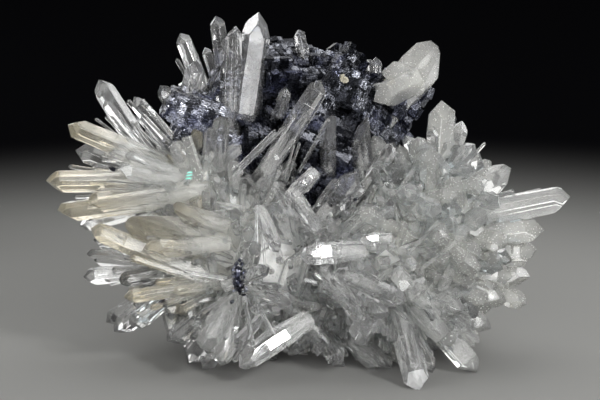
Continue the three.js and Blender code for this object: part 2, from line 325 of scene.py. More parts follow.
@dataclass(frozen=True)
class LeadGlance:
    """Galena: lead-grey metal on stepped cleavage, with painted shade and sheen, each block drawn at random from
    near-black to lead grey, and a violet tarnish.
    """

    name: str = "galena_lead_grey"
    # painted lit and shaded greys of the one metal; each block takes a tone between them
    painted_lit_grey: str = "8e9098"
    dark: str = "17181c"
    tarnish: str = "474a5e"
    cloud_per_m: float = 110.0
    cloud_range: Range = (0.5, 0.68)
    cloud_share: float = 0.75
    painted_shade_bias: float = 2.2
    fleck_mm: float = 0.45
    relief_mm: float = 0.14
    roughness: Range = (0.14, 0.4)

    def material(self) -> bpy.types.Material:
        """Builds the metal: painted shade and sheen by block, tarnish in clouds, and a fine facet relief that
        glitters.
        """
        paint = Paint(self.name)
        place = add_node(paint.tree, "ShaderNodeTexCoord").outputs["Object"]
        clouds = paint.ramp(
            paint.noise(place, self.cloud_per_m, 4.0), self.cloud_range, (0.0, self.cloud_share)
        )
        # painted shade and sheen: a random value per block, pushed towards the near-black grey
        painted_facet_light = paint.reckon("POWER", paint.attribute("facet", "Fac"), self.painted_shade_bias)
        metal = paint.blend(painted_facet_light, linear(self.dark), linear(self.painted_lit_grey))
        flecks = add_node(
            paint.tree,
            "ShaderNodeTexVoronoi",
            {"Vector": paint.attribute("own", "Vector"), "Scale": 1 / self.fleck_mm},
            distance="CHEBYCHEV",
        ).outputs
        values = {
            "Base Color": paint.blend(clouds, metal, linear(self.tarnish)),
            "Metallic": 1.0,
            "Roughness": paint.ramp(flecks["Color"], (0.0, 1.0), self.roughness),
            "Normal": paint.relief(flecks["Distance"], self.relief_mm),
        }
        return paint.close(values)


@dataclass(frozen=True)
class Carbonate:
    """A grain of cream carbonate: dull and finely rough, with a little wax in its depth."""

    name: str = "carbonate_cream"
    light: str = "aca797"
    dark: str = "777161"
    grain_mm: float = 0.4
    relief_mm: float = 0.15
    roughness: float = 0.6
    wax: float = 0.15
    wax_reach: Point3 = (0.001, 0.0008, 0.0005)

    def material(self) -> bpy.types.Material:
        """Builds the dull mottled finish."""
        paint = Paint(self.name)
        grain = paint.noise(paint.attribute("own", "Vector"), 1 / self.grain_mm, 4.0)
        values = {
            "Base Color": paint.blend(grain, linear(self.dark), linear(self.light)),
            "Roughness": self.roughness,
            "Subsurface Weight": self.wax,
            "Subsurface Radius": self.wax_reach,
            "Normal": paint.relief(grain, self.relief_mm),
        }
        return paint.close(values)


@dataclass(frozen=True)
class Iridescence:
    """A healed fracture in quartz: a film so thin that it returns clean colours."""

    name: str = "quartz_fracture_film"
    tint: str = "62b893"
    second_tint: str = "5aa3a6"
    band_per_mm: float = 1.1
    roughness: float = 0.35
    metallic: float = 0.4

    def material(self) -> bpy.types.Material:
        """Builds the film's finish, whose colour shifts in bands."""
        paint = Paint(self.name)
        bands = paint.noise(paint.attribute("own", "Vector"), self.band_per_mm)
        colour = paint.blend(bands, linear(self.tint), linear(self.second_tint))
        return paint.close({"Base Color": colour, "Metallic": self.metallic, "Roughness": self.roughness})


@dataclass(frozen=True)
class FloorPaint:
    """Plain pale studio floor: matt, with painted shade: its colour darkens to near black away from the specimen, in
    place of the light's falloff.
    """

    name: str = "floor_pale"
    pale: str = "747472"
    # painted shade: the near-black colour that the floor fades to away from the specimen
    painted_dark_far: str = "050506"
    painted_falloff_reach_m: Range = (0.09, 0.3)
    roughness: float = 0.8
    gloss: float = 0.0

    def material(self) -> bpy.types.Material:
        """Builds the floor's finish, with painted shade that darkens its colour by distance from the specimen."""
        paint = Paint(self.name)
        place = add_node(paint.tree, "ShaderNodeTexCoord").outputs["Object"]
        away = add_node(paint.tree, "ShaderNodeVectorMath", {0: place}, operation="LENGTH").outputs["Value"]
        # painted shade: the floor's colour fades towards near black with distance from the specimen
        painted_falloff = paint.ramp(away, self.painted_falloff_reach_m, interpolation_type="SMOOTHERSTEP")
        values = {
            "Base Color": paint.blend(painted_falloff, linear(self.pale), linear(self.painted_dark_far)),
            "Roughness": self.roughness,
            "Specular IOR Level": self.gloss,
        }
        return paint.close(values)


@dataclass
class Shape:
    """A mesh as arrays: corners in millimetres, faces as lists of corners, and what the finishes read."""

    corners: np.ndarray
    faces: list[tuple[int, ...]]
    own: np.ndarray
    facet: np.ndarray
    along: np.ndarray


def gather(shapes: list[Shape]) -> Shape:
    """Joins shapes into one, without welding them."""
    faces: list[tuple[int, ...]] = []
    start = 0
    for shape in shapes:
        faces.extend(tuple(corner + start for corner in face) for face in shape.faces)
        start += len(shape.corners)
    return Shape(
        np.concatenate([shape.corners for shape in shapes]),
        faces,
        np.concatenate([shape.own for shape in shapes]),
        np.concatenate([shape.facet for shape in shapes]),
        np.concatenate([shape.along for shape in shapes]),
    )


def link_active(name: str, mesh: bpy.types.Mesh) -> bpy.types.Object:
    """Links a mesh to the scene as an object, and makes it the active one."""
    made = bpy.data.objects.new(name, mesh)
    bpy.context.scene.collection.objects.link(made)
    bpy.ops.object.select_all(action="DESELECT")
    made.select_set(True)
    bpy.context.view_layer.objects.active = made
    return made


def as_model(block: bpy.types.Object) -> Model:
    """The corners and the faces of an object, which is then removed."""
    corners = np.array([corner.co[:] for corner in block.data.vertices])
    faces = [tuple(face.vertices) for face in block.data.polygons]
    bpy.data.objects.remove(block)
    return corners, faces


def to_piece(
    name: str, shape: Shape, material: bpy.types.Material, smooth_deg: float = 0.0
) -> bpy.types.Object:
    """Makes a Blender object of a shape, in metres, with its place in its mesh.

    Args:
        name: the piece's name.
        shape: the arrays, in millimetres and in the part's own frame.
        material: its finish.
        smooth_deg: edges flatter than this are shaded smooth; 0 leaves every face flat.

    Returns:
        The new object, linked to the scene.
    """
    mesh = bpy.data.meshes.new(name)
    mesh.from_pydata((shape.corners * MM).tolist(), [], shape.faces)
    own = mesh.attributes.new("own", "FLOAT_VECTOR", "POINT")
    own.data.foreach_set("vector", shape.own.astype(np.float32).ravel())
    for label, values in (("facet", shape.facet), ("along", shape.along)):
        mesh.attributes.new(label, "FLOAT", "POINT").data.foreach_set("value", values.astype(np.float32))
    mesh.materials.append(material)
    mesh.validate()
    piece = link_active(name, mesh)
    if shape.corners[:, 2].min() < 0:
        trim_to_floor()
    if smooth_deg:
        bpy.ops.object.shade_smooth_by_angle(angle=math.radians(smooth_deg))
    return piece


def point_mesh(name: str, shape: Shape, materials: list[bpy.types.Material], slot: int) -> bpy.types.Mesh:
    """Makes one point's mesh, whose attributes sit on its face corners so that they outlast a union."""
    mesh = bpy.data.meshes.new(name)
    mesh.from_pydata((shape.corners * MM).tolist(), [], shape.faces)
    for material in materials:
        mesh.materials.append(material)
    mesh.polygons.foreach_set("material_index", [slot] * len(mesh.polygons))
    places = np.empty(len(mesh.loops), dtype=np.int32)
    mesh.loops.foreach_get("vertex_index", places)
    own = mesh.attributes.new("own", "FLOAT_VECTOR", "CORNER")
    own.data.foreach_set("vector", shape.own[places].astype(np.float32).ravel())
    along = mesh.attributes.new("along", "FLOAT", "CORNER")
    along.data.foreach_set("value", shape.along[places].astype(np.float32))
    return mesh


def grow_together(name: str, kinds: list[tuple[bpy.types.Material, list[Shape]]]) -> bpy.types.Object:
    """Unites overlapping points into one closed solid, as crystals that grew through each other are.

    Args:
        name: the piece's name.
        kinds: each finish, and the points that take it.

    Returns:
        The united piece in metres, linked to the scene.
    """
    materials = [material for material, _ in kinds]
    meshes = [
        point_mesh(name, shape, materials, slot)
        for slot, (_, shapes) in enumerate(kinds)
        for shape in shapes
    ]
    whole = link_active(name, meshes[0])
    if len(meshes) > 1:
        others = bpy.data.collections.new(f"{name}_parts")
        for mesh in meshes[1:]:
            others.objects.link(bpy.data.objects.new(mesh.name, mesh))
        union = whole.modifiers.new("union", "BOOLEAN")
        union.operation = "UNION"
        union.solver = "MANIFOLD"
        union.operand_type = "COLLECTION"
        union.collection = others
        bpy.ops.object.modifier_apply(modifier="union")
        for part in list(others.objects):
            bpy.data.objects.remove(part)
        bpy.data.collections.remove(others)
        for mesh in meshes[1:]:
            bpy.data.meshes.remove(mesh)
    if min(corner.co.z for corner in whole.data.vertices) < 0:
        trim_to_floor()
    return whole


def trim_to_floor() -> None:
    """Cuts the active piece off flat at the surface that the specimen rests on, and closes the cuts."""
    bpy.ops.object.mode_set(mode="EDIT")
    bpy.ops.mesh.select_all(action="SELECT")
    bpy.ops.mesh.bisect(
        plane_co=(0, 0, 0), plane_no=(0, 0, 1), use_fill=True, clear_inner=True, threshold=TRIM_THRESHOLD_M
    )
    bpy.ops.object.mode_set(mode="OBJECT")


@dataclass(frozen=True)
class Habit:
    """How one habit of quartz point is cut, for a point with half a width of 1 and a length of 10.

    sides and tips are the distances of the six prism faces and the stand-outs of the six tip faces.
    """

    sides: tuple[float, ...]
    tips: tuple[float, ...]
    bevel: float = 0.05
    ledges: tuple[float, ...] = ()

    LENGTH = 10.0
    TIP_ZONE = 2.0
    TAPER = 0.86
    RHOMB_DEG = 51.8
    LEDGE_RUN = 0.07
    LEDGE_DROP = 0.985

    def model(self) -> Model:
        """Cuts the point from a block: six sides, six tip faces, growth ledges, then its edges are eased.

        Returns:
            The corners and the faces of the point, which stands on the origin along +Z.
        """
        bpy.ops.object.select_all(action="DESELECT")
        bpy.ops.mesh.primitive_cube_add(size=2.0, location=(0, 0, self.LENGTH / 2))
        block = bpy.context.active_object
        block.scale = (1.5, 1.5, self.LENGTH / 2)
        bpy.ops.object.transform_apply(location=True, rotation=True, scale=True)
        bpy.ops.object.mode_set(mode="EDIT")
        around = [math.pi / 6 + face * math.pi / 3 for face in range(6)]
        slope = (1 - self.TAPER) / self.LENGTH
        for angle, distance in zip(around, self.sides):
            out = Vector((math.sin(angle), -math.cos(angle), 0))
            self.cut(out * distance, out + Vector((0, 0, slope * distance)))
        rhomb = math.radians(self.RHOMB_DEG)
        for angle, stand_out in zip(around, self.tips):
            flat = -math.sin(rhomb) * math.cos(angle)
            normal = Vector((math.sin(rhomb) * math.sin(angle), flat, math.cos(rhomb)))
            self.cut(Vector((0, 0, self.LENGTH)) + normal * stand_out, normal)
        for ledge in self.ledges:
            self.step(block, ledge)
        if self.bevel:
            bpy.ops.mesh.select_all(action="SELECT")
            bpy.ops.mesh.bevel(offset=self.bevel, segments=1, affect="EDGES", clamp_overlap=True)
        bpy.ops.object.mode_set(mode="OBJECT")
        return as_model(block)

    @staticmethod
    def cut(place: Vector, normal: Vector) -> None:
        """Cuts away all that lies beyond a plane and closes the cut."""
        bpy.ops.mesh.select_all(action="SELECT")
        bpy.ops.mesh.bisect(plane_co=place, plane_no=normal.normalized(), use_fill=True, clear_outer=True)

    def step(self, block: bpy.types.Object, height: float) -> None:
        """Cuts a growth ledge round the prism: above it, every side stands a little further in."""
        for level in (height, height + self.LEDGE_RUN):
            bpy.ops.mesh.select_all(action="SELECT")
            bpy.ops.mesh.bisect(plane_co=(0, 0, level), plane_no=(0, 0, 1))
        bpy.ops.object.mode_set(mode="OBJECT")
        for corner in block.data.vertices:
            if corner.co.z > height + self.LEDGE_RUN / 2:
                corner.co.x *= self.LEDGE_DROP
                corner.co.y *= self.LEDGE_DROP
        bpy.ops.object.mode_set(mode="EDIT")


HABITS = (
    Habit((1, 0.92, 1, 0.96, 0.9, 1), (0, 0.22, -0.06, 0.3, -0.02, 0.26), ledges=(3.4, 5.9, 7.2)),
    Habit((0.94, 1, 1, 0.88, 1, 0.97), (-0.22, 0.3, 0.02, 0.12, 0, 0.34), ledges=(4.6, 6.8)),
    Habit((1, 0.84, 0.95, 1, 0.9, 0.96), (0, 0.1, -0.12, 0.24, 0, 0.16), ledges=(2.6, 5.2)),
    Habit((0.9, 1, 0.86, 0.98, 1, 0.86), (-0.05, 0.34, -0.3, 0.2, 0.04, 0.3), ledges=(4.1, 7.4)),
)
CHISEL = Habit((1, 0.9, 1, 1, 0.92, 1), (-0.75, 0.9, 0.5, 0.6, 0.3, 0.2), ledges=(4.2,))
NEEDLES = (
    Habit((1, 0.9, 1, 1, 0.86, 1), (0, 0.3, -0.1, 0.2, 0, 0.3), bevel=0),
    Habit((0.9, 1, 0.8, 1, 0.95, 0.86), (-0.2, 0.2, 0, 0.3, 0, 0.1), bevel=0),
)


@dataclass(frozen=True)
class QuartzPoint:
    """A quartz point in the display frame: where its tip and its root are, and its width across the flats."""

    tip: Point3
    width: float
    root: Point3 | None = None
    clarity: Clarity = Clarity.HAZY
    flat: float = 0.88
    turn: float | None = None
    facing: Point3 | None = None
    broadside: Point3 | None = None
    alone: bool = False
    chisel: bool = False
    blunt: float = 1.0


CLOUD_SHARES: dict[Clarity, tuple[float, ...]] = {
    Clarity.CLEAR: (0.86, 0.62, 0.36),
    Clarity.HAZY: (0.9, 0.66, 0.4),
    Clarity.MILKY: (0.94, 0.76, 0.56, 0.34),
    Clarity.STAINED: (0.88, 0.6, 0.36),
}


def model_plume() -> Model:
    """Models the cloud inside a point: a six-sided spike that narrows unevenly from its root.

    Returns:
        The corners and the faces of the spike, which stands on the origin along +Z and is Habit.LENGTH long.
    """
    bpy.ops.object.select_all(action="DESELECT")
    bpy.ops.mesh.primitive_cone_add(
        vertices=6, radius1=1.0, radius2=0.12, depth=Habit.LENGTH, location=(0, 0, Habit.LENGTH / 2)
    )
    spike = bpy.context.active_object
    bpy.ops.object.transform_apply(location=True)
    bpy.ops.object.mode_set(mode="EDIT")
    for level in (2.5, 5.0, 7.0, 8.6):
        bpy.ops.mesh.select_all(action="SELECT")
        bpy.ops.mesh.bisect(plane_co=(0, 0, level), plane_no=(0, 0, 1))
    bpy.ops.object.mode_set(mode="OBJECT")
    corners, faces = as_model(spike)
    swell = 1 + 0.16 * np.sin(2.1 * corners[:, 2] + 3 * np.arctan2(corners[:, 1], corners[:, 0]))
    corners[:, :2] *= swell[:, None]
    return corners, faces


@dataclass(frozen=True)
class Stance:
    """Where a point grows: its root and tip in the part's own frame, its width, its turn and its flatness.

    blunt is the length of its tip as a share of the natural one.
    """

    root: np.ndarray
    tip: np.ndarray
    width: float
    turn: float = 0.0
    flat: float = 0.88
    blunt: float = 1.0


def turn_towards(root: np.ndarray, tip: np.ndarray, facing: Point3) -> float:
    """The turn, in degrees, that makes one prism face of a point look in a direction of the display frame."""
    aim = Vector((0, 1, 0)).rotation_difference(Vector(tip - root)).to_matrix()
    wanted = aim.transposed() @ (TO_BASE.to_3x3() @ Vector(facing))
    return math.degrees(math.atan2(-wanted.z, wanted.x))


def grow(model: Model, stance: Stance, key: float, waist: float = 0.72) -> Shape:
    """Copies a modelled point into place, stretched along its prism so that its tip keeps its shape.

    Args:
        model: corners and faces of the habit.
        stance: where and how large the point grows.
        key: sets it apart from other points in the finishes' patterns.
        waist: its width at the root, as a share of its full width.

    Returns:
        The point as arrays.
    """
    corners, faces = model
    half = stance.width / 2
    ray = Vector(stance.tip - stance.root)
    length = ray.length
    knee = Habit.LENGTH - Habit.TIP_ZONE
    shaft = max(length - Habit.TIP_ZONE * half * stance.blunt, length * 0.1)
    tip_scale = (length - shaft) / Habit.TIP_ZONE
    level = corners[:, 2]
    along = np.where(level > knee, shaft + (level - knee) * tip_scale, level / knee * shaft)
    girth = half * (waist + (1 - waist) * np.clip(along / (0.45 * length), 0, 1))
    local = np.stack([corners[:, 0] * girth, along, -corners[:, 1] * girth * stance.flat], axis=1)
    aim = Vector((0, 1, 0)).rotation_difference(ray).to_matrix()
    place = aim @ Matrix.Rotation(math.radians(stance.turn), 3, "Y")
    placed = local @ np.array(place).T + stance.root
    apart = np.array([scatter(key) * 90, scatter(key + 0.3) * 90, scatter(key + 0.7) * 90])
    return Shape(placed, faces, local + apart, np.full(len(corners), scatter(key + 0.5)), along / length)


class Moulds:
    """The modelled forms that every quartz point is copied from."""

    def __init__(self) -> None:
        """Models each form once."""
        self.habits = [habit.model() for habit in HABITS]
        self.chisel = CHISEL.model()
        self.needles = [habit.model() for habit in NEEDLES]
        self.plume = model_plume()


@dataclass
class QuartzBuilder:
    """Grows quartz points and the haze inside them, kept apart by how clear they are."""

    moulds: Moulds
    root_pull: float = 0.12
    companion_reach: Range = (0.3, 0.86)
    companion_width: Range = (0.24, 0.5)
    fused_width: Range = (0.45, 0.9)
    companion_lean: Range = (0.01, 0.13)

    def __post_init__(self) -> None:
        """Starts with nothing grown."""
        self.shells: dict[Clarity, list[Shape]] = {clarity: [] for clarity in Clarity}
        self.haze: list[Shape] = []

    def kinds(
        self, finishes: dict[Clarity, bpy.types.Material]
    ) -> list[tuple[bpy.types.Material, list[Shape]]]:
        """Each finish in use, and the points that take it."""
        return [(finishes[clarity], shapes) for clarity, shapes in self.shells.items() if shapes]

    def needle(self, stance: Stance, clarity: Clarity, index: int, key: float) -> None:
        """Grows one thin point."""
        self.shells[clarity].append(grow(self.moulds.needles[index % len(NEEDLES)], stance, key))

    def point(self, point: QuartzPoint, centre: Point3 | None, key: int) -> None:
        """Grows one point, the haze inside it and the thin points that grew along its foot."""
        root = point.root
        if root is None:
            root = tuple(c + self.root_pull * (t - c) for c, t in zip(centre, point.tip))
        foot, top = stand(root), stand(point.tip)
        turn = 60 * scatter(key) if point.turn is None else point.turn
        if point.facing is not None:
            turn = turn_towards(foot, top, point.facing)
        if point.broadside is not None:
            turn = turn_towards(foot, top, point.broadside) + 90
        stance = Stance(foot, top, point.width, turn, point.flat, point.blunt)
        model = self.moulds.chisel if point.chisel else self.moulds.habits[key % len(HABITS)]
        self.shells[point.clarity].append(grow(model, stance, key))
        self.cloud(stance, point.clarity, key)
        if not point.alone:
            self.companions(stance, point.clarity, key)

    def cloud(self, stance: Stance, clarity: Clarity, key: int) -> None:
        """Fills the lower part of a point with haze, in nested plumes of unlike length."""
        reach = {Clarity.CLEAR: 0.66, Clarity.HAZY: 0.84, Clarity.MILKY: 0.92, Clarity.STAINED: 0.84}[clarity]
        for nest, share in enumerate(CLOUD_SHARES[clarity]):
            length = reach * between((0.72, 1.0), scatter(key * 3 + nest))
            top = stance.root + (stance.tip - stance.root) * length
            inner = Stance(stance.root, top, stance.width * share, stance.turn + 10 * nest, stance.flat)
            self.haze.append(grow(self.moulds.plume, inner, key + 500 + nest, 0.68))

    def companions(self, stance: Stance, clarity: Clarity, key: int) -> None:
        """Grows one to three thinner points nearly side by side with a point, from the same root."""
        ray = stance.tip - stance.root
        length = np.linalg.norm(ray)
        along = ray / length
        side = np.cross(along, (0.0, 0.0, 1.0))
        side /= max(np.linalg.norm(side), 1e-6)
        up = np.cross(side, along)
        count = 1 + int(3 * scatter(key + 0.2))
        for index in range(count):
            seed = key * 7 + index * 1.7
            around = index * GOLDEN_ANGLE + key
            away = math.cos(around) * side + math.sin(around) * up
            reach = length * between(self.companion_reach, scatter(seed))
            girth = self.companion_width if clarity is Clarity.CLEAR else self.fused_width
            width = stance.width * between(girth, scatter(seed + 0.4))
            start = stance.root + away * stance.width * 0.3
            end = start + (along + away * between(self.companion_lean, scatter(seed + 0.8))) * reach
            if end[2] < 0.4:
                continue
            self.needle(Stance(start, end, width, 60 * scatter(seed), 0.9), clarity, index, seed + 900)


@dataclass(frozen=True)
class Undergrowth:
    """The fine points that fill the space between the main points of a spray or fan."""

    per_point: int = 5
    width: Range = (0.8, 3.4)
    reach: Range = (0.5, 0.93)
    neighbours: int = 3
    hazy_share: float = 0.35
    milky_girth: float = 2.0
    foot_pull: float = 0.25

    def fill(
        self, builder: QuartzBuilder, points: tuple[QuartzPoint, ...], centre: Point3, seed: int
    ) -> None:
        """Grows the fine points, each aimed between two neighbouring main points.

        Args:
            builder: takes the points.
            points: the main points.
            centre: where those without a root of their own grow from.
            seed: sets this spray's scatter apart.
        """
        rng = np.random.default_rng(seed)
        tips = np.array([point.tip for point in points])
        roots = np.array([point.root or centre for point in points])
        for first, tip in enumerate(tips):
            nearest = np.argsort(np.linalg.norm(tips - tip, axis=1))[1 : 1 + self.neighbours]
            for index in range(self.per_point):
                other = rng.choice(nearest)
                share = rng.random() * 0.6
                goal = tip + (tips[other] - tip) * share
                start = roots[first] + (roots[other] - roots[first]) * share
                start = start + (goal - start) * self.foot_pull
                end = start + (goal - start) * between(self.reach, rng.random())
                end = end + rng.normal(0, 1.0, 3)
                width = in_ratio(self.width, rng.random())
                foot, top = stand(tuple(start)), stand(tuple(end))
                clarity = points[first].clarity
                if clarity is Clarity.MILKY:
                    width *= self.milky_girth
                elif rng.random() > self.hazy_share:
                    clarity = Clarity.CLEAR
                if min(foot[2], top[2]) < 1.0:
                    continue
                stance = Stance(foot, top, width, 60 * rng.random(), 0.9)
                builder.needle(stance, clarity, index, seed + 8 * first + index + 0.37)


@dataclass(frozen=True)
class Spray:
    """A spray of quartz points that radiate from about one centre."""

    name: str
    centre: Point3
    points: tuple[QuartzPoint, ...]


C, H, M, S = Clarity.CLEAR, Clarity.HAZY, Clarity.MILKY, Clarity.STAINED
FLASH: Point3 = (0.258, -0.951, 0.173)

SPRAYS = (
    Spray("left_spray", (-26, -4, 51), (
        QuartzPoint((-53.5, 4, 77.5), 6.6, (-36, 2, 50), C),
        QuartzPoint((-44.5, -4, 73), 5.1, (-27, 0, 53), C),
        QuartzPoint((-60.5, -7, 65.8), 6.8, (-32, -5, 54), S),
        QuartzPoint((-59.2, 3, 60), 6.5, (-36, 2, 51), C),
        QuartzPoint((-65.8, -9, 51.5), 6.9, (-26, -6, 52), S),
        QuartzPoint((-63, -12, 43.6), 7.3, (-25, -8, 49), S),
        QuartzPoint((-57.8, 0, 40.4), 4.7, (-38, 0, 46), H),
        QuartzPoint((-49.8, -15, 59.2), 5, None, H),
        QuartzPoint((-47, -19, 54.5), 5.2, None, H),
        QuartzPoint((-50, 8, 68), 4, (-34, 6, 52), C),
    )),
    Spray("low_left_fan", (-16.8, -9, 26), (
        QuartzPoint((-54.3, -15, 40), 5.9, (-18, -11, 25), S),
        QuartzPoint(
            (-44.6, -21, 39), 13, (-17, -8, 38), S, 0.7, facing=(-0.1, -1, 0.4), alone=True, chisel=True
        ),
        QuartzPoint((-45.8, -18, 22.8), 4.5, (-18, -11, 27), S),
        QuartzPoint((-35.5, -8, 10.8), 5.9, None, C),
        QuartzPoint((-30.5, 0, 5.4), 5.9, None, C),
        QuartzPoint((-26.5, -6, 4.2), 5.4, None, C),
        QuartzPoint((-21.8, -15, 5.6), 5.9, None, H),
        QuartzPoint((-17.8, -24.5, 6.4), 7.4, (0, -17, 17.6), C, facing=FLASH, alone=True),
        QuartzPoint((-26.5, -23, 10.5), 6.4, None, H),
        QuartzPoint((-13.5, -25, 37), 5, None, C),
        QuartzPoint((-4, -24, 21.5), 5.7, None, C),
    )),
    Spray("left_foot", (-28, 4, 30), (
        QuartzPoint((-54.8, 4, 36.8), 5.2, None, C),
        QuartzPoint((-56.6, 2, 32.8), 5.9, None, C),
        QuartzPoint((-57, 0, 27.6), 5.4, None, C),
        QuartzPoint((-51.6, 5, 16), 4.7, None, C),
        QuartzPoint((-49.2, 0, 13.4), 6.6, None, C),
        QuartzPoint((-44.8, -5, 15), 5.9, None, H),
        QuartzPoint((-47.5, -9, 27), 4.7, None, C),
    )),
    Spray("underside", (4, 2, 19), (
        QuartzPoint((-4.8, -6, 9), 5, None, C),
        QuartzPoint((2.4, -8, 7.6), 4.7, None, C),
        QuartzPoint((9, -4, 4.9), 5, (0, -6, 16), C),
        QuartzPoint((17.5, -8, 4.8), 5.9, None, H),
        QuartzPoint((20.8, -5, 4.6), 5.4, None, H),
    )),
    Spray("right_foot", (22, -7, 26), (
        QuartzPoint((19.4, -23, 18.6), 6.4, (4, -13, 26), C),
        QuartzPoint((27, -26, 0), 6.8, (21.5, -11, 23), C),
        QuartzPoint((42, -9, 3.8), 7.1, (22, -9, 27), H),
        QuartzPoint((31, -16, 4.2), 5, (24, -9, 17), C),
        QuartzPoint((45.8, -4, 14.4), 6.6, (30, -3, 23), H),
        QuartzPoint((42.4, -9, 10.6), 5.4, (28, -6, 22), H),
        QuartzPoint((33, -24, 13), 6.4, None, H),
        QuartzPoint((10.4, -23, 12), 6.5, None, C),
        QuartzPoint((38, -20, 19.5), 6.5, None, H),
        QuartzPoint((27, -28, 24), 5.9, None, H),
    )),
    Spray("right_spray", (30, -2, 41), (
        QuartzPoint((65.6, -6, 47.8), 8, (31, -4, 41), H),
        QuartzPoint((59, -9, 40), 7.1, (33, -5, 36), M),
        QuartzPoint((57.4, -5, 34.4), 8.4, (32, -4, 33), M),
        QuartzPoint((56, -4, 27), 8, (30, -3, 31), M),
        QuartzPoint((49.4, -7, 21.2), 6.7, (29, -5, 30), M),
        QuartzPoint((33.8, 0, 72.6), 7.8, (31.5, 0, 45), M),
        QuartzPoint((39, 6, 67.2), 5.4, (32, 3, 48), H),
        QuartzPoint((52, 1, 54.4), 8.2, (33, 0, 46), H),
        QuartzPoint((43.4, 5, 59), 6.4, (33, 2, 46), H),
        QuartzPoint((43.4, -20, 44.4), 5.2, (35, -7, 36), H),
        QuartzPoint((49, -18, 36), 6.5, None, M),
        QuartzPoint((41, -23, 29), 6.7, None, M),
        QuartzPoint((30, -22, 46), 6.6, None, H),
        QuartzPoint((17.8, -13, 56), 5.9, None, C),
        QuartzPoint((23.2, -19, 50.6), 5.9, None, H),
        QuartzPoint((29, -12, 62), 5.4, None, H),
    )),
    Spray("front_spray", (7, -5, 38), (
        QuartzPoint((12.4, -17, 54), 6.8, (2, -10, 42), C),
        QuartzPoint((20.8, -20, 35.2), 6.7, (6, -10, 36), C),
        QuartzPoint((-1, -21, 34.6), 6.6, None, C),
        QuartzPoint((-9.8, -15, 46.4), 5.4, (-3, -8, 36), C),
        QuartzPoint((17.6, -17, 45.6), 6.2, None, C),
        QuartzPoint((16, -25, 27.6), 6, None, C),
        QuartzPoint((8, -25, 25.6), 6.8, None, C),
        QuartzPoint((-19, -18, 45), 5.2, (-12, -8, 34), C),
        QuartzPoint((4, -24, 40.5), 5.7, None, C),
        QuartzPoint((3.8, -15, 76.8), 5.7, (-11, -9, 54), C),
        QuartzPoint((-8, -12, 61), 3.5, (-11, -8, 48), C),
    )),
)


FRONT_BLOCKS = (
    QuartzPoint((-2.5, -26.3, 33.5), 6.6, (13.5, -22, 34.8), C, facing=FLASH, alone=True),
    QuartzPoint((12.2, -26, 37), 3.8, (20, -23.6, 37.8), C, facing=FLASH, alone=True),
    QuartzPoint((-6, -19, 46.2), 4.4, (1.5, -14, 54), C),
    QuartzPoint((3, -20, 38), 4.2, (-4, -16, 49), C),
    QuartzPoint((-7.5, -22, 34), 4.4, (-12.5, -16, 45), C),
    QuartzPoint((13, -24, 17), 5, (4, -17, 30), C),
    QuartzPoint((24, -25, 22), 5.4, (9, -18, 28.5), C),
    QuartzPoint((20, -24, 30.5), 5, (30, -17, 21), H),
    QuartzPoint((-9.5, -24, 30.5), 4.2, (-21, -17, 26), C),
    QuartzPoint((-41, -23.5, 34.6), 8, (-20, -14, 36.5), S, 0.7, facing=(0, -1, -0.3), alone=True),
    QuartzPoint(
        (-33, -23.5, 44.6), 7, (-20, -15, 40.5), S, 0.7, facing=(0.2, -1, 0.3), alone=True, chisel=True
    ),
)
NEEDLE_POINTS = (
    QuartzPoint((-8.2, -13, 64.4), 1.1, (-19.4, -13, 53.4), C),
    QuartzPoint((-6, -13, 65.2), 0.9, (-18.8, -14, 52.6), C),
    QuartzPoint((-5.4, -20, 43), 0.9, (-9, -16, 50), C),
    QuartzPoint((-2.8, -20, 42.2), 0.9, (-8.2, -16, 50.4), C),
    QuartzPoint((-12.9, -23, 33), 1.1, (-13, -18, 44.4), C),
    QuartzPoint((-10.8, -23, 31), 0.8, (-12, -18, 45), C),
    QuartzPoint((3, -21, 38), 1.3, (-6, -17, 31.5), C),
    QuartzPoint((12, -24, 21), 1.2, (1.5, -19, 29), C),
    QuartzPoint((-31, -21, 29.5), 1.2, (-17, -18, 27), C),
    QuartzPoint((-27, -21, 19), 1.3, (-17, -18, 25), C),
    QuartzPoint((-20.6, -24, 12.6), 1.3, (-17, -17, 24), C),
    QuartzPoint((-13.6, -24, 10), 1.4, (-16, -17, 23), C),
    QuartzPoint((-8.4, -24, 13.4), 1.3, (-14, -17, 23), C),
    QuartzPoint((32, -22, 42), 1.1, (22, -17, 31), H),
    QuartzPoint((36.5, -22, 37), 1.2, (25, -19, 28), H),
    QuartzPoint((26, -16, 54.5), 1.2, (18, -13, 44), H),
)


@dataclass(frozen=True)
class Fan:
    """A fan of points that finishes a side or the back: they spread evenly round an axis."""

    name: str
    centre: Point3
    axis: Point3
    spread: float
    count: int
    length: Range
    width: Range
    clarity: Clarity = Clarity.HAZY

    def points(self, seed: int) -> list[QuartzPoint]:
        """The fan's points, spread by the golden angle over a cap round its axis."""
        middle = Vector(self.axis).normalized()
        sideways = Vector((0, 0, 1)).cross(middle).normalized()
        upward = middle.cross(sideways)
        found = []
        for index in range(self.count):
            tilt = math.radians(self.spread) * math.sqrt((index + 0.5) / self.count)
            around = index * GOLDEN_ANGLE + seed
            ray = middle * math.cos(tilt)
            ray += sideways * (math.sin(tilt) * math.cos(around))
            ray += upward * (math.sin(tilt) * math.sin(around))
            reach = between(self.length, scatter(seed + index))
            tip = tuple(c + r * reach for c, r in zip(self.centre, ray))
            width = between(self.width, scatter(seed + index + 0.5))
            found.append(QuartzPoint(tip, width, None, self.clarity))
        return found


